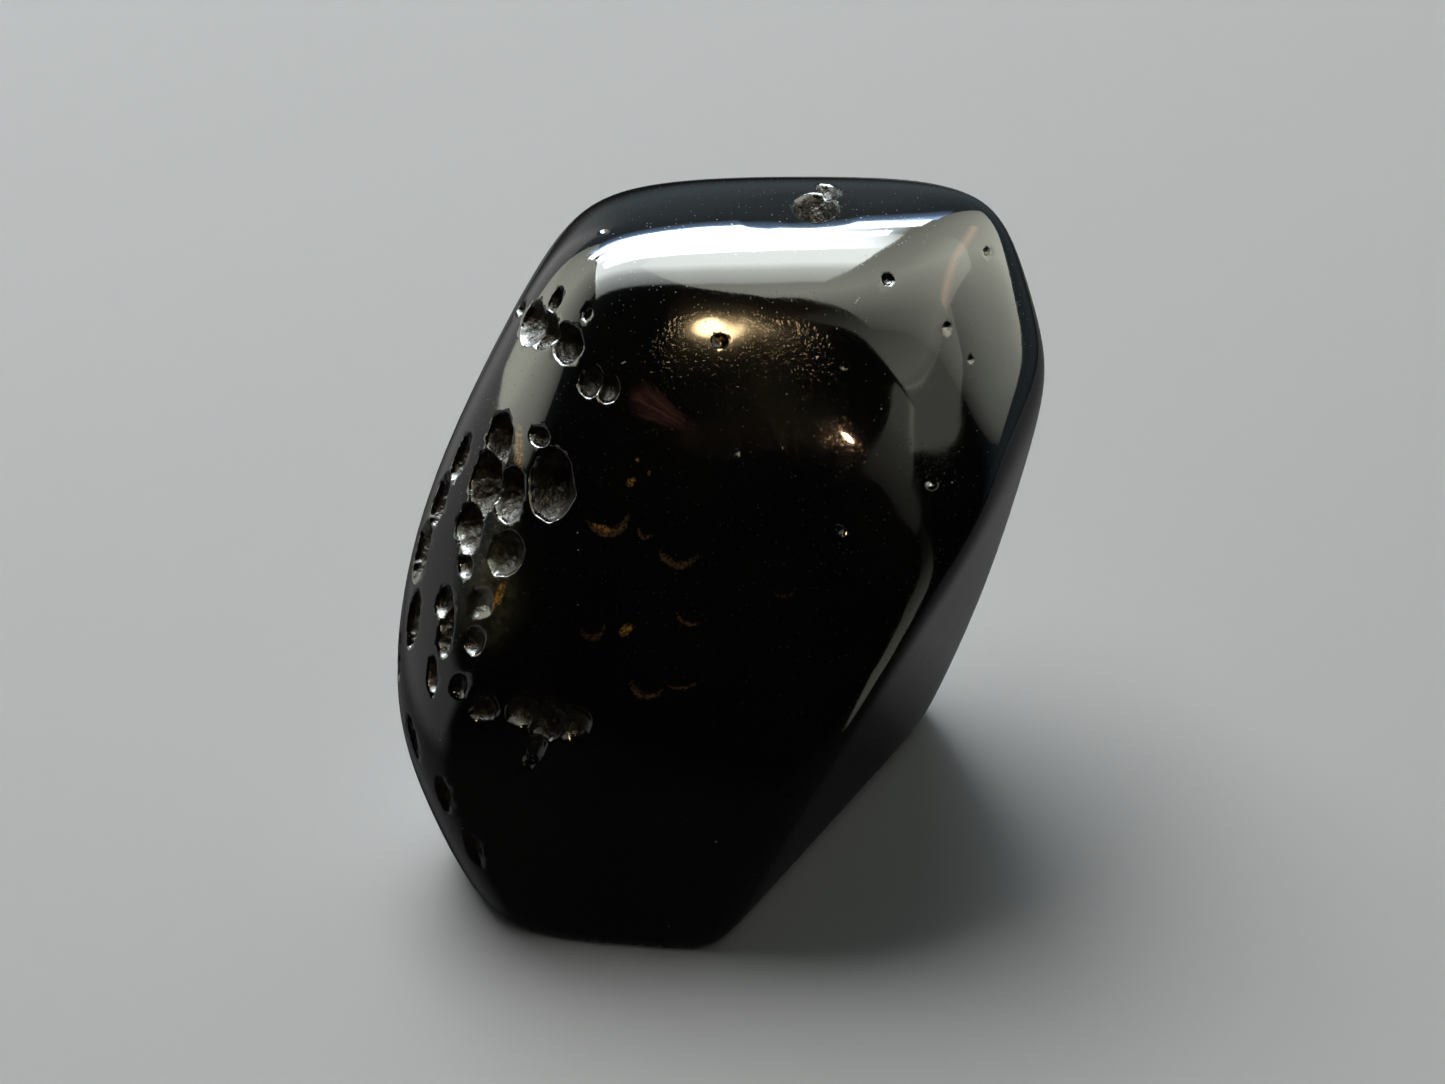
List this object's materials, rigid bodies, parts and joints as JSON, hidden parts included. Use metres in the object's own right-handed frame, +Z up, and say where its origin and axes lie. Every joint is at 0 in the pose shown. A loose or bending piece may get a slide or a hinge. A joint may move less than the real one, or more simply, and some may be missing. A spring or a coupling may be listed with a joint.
{
  "type": "tumbled tektite",
  "caption": "Polished pebble of black natural glass with soft-edged tumbled faces, open bubble pits and a flat face to rest on.",
  "frame": {"origin": "centre of the face that the pebble rests on, at table level", "axes": "+Z up, -Y towards the broad polished front, +X towards the side with the crisp ridge"},
  "size_m": [0.0298, 0.0261, 0.0303],
  "materials": {
    "glass": "black natural glass, tumble polished to a wet gloss, with rougher bubble pits"
  },
  "bodies": {
    "root": {"tektite": "glass"}
  },
  "joints": []
}
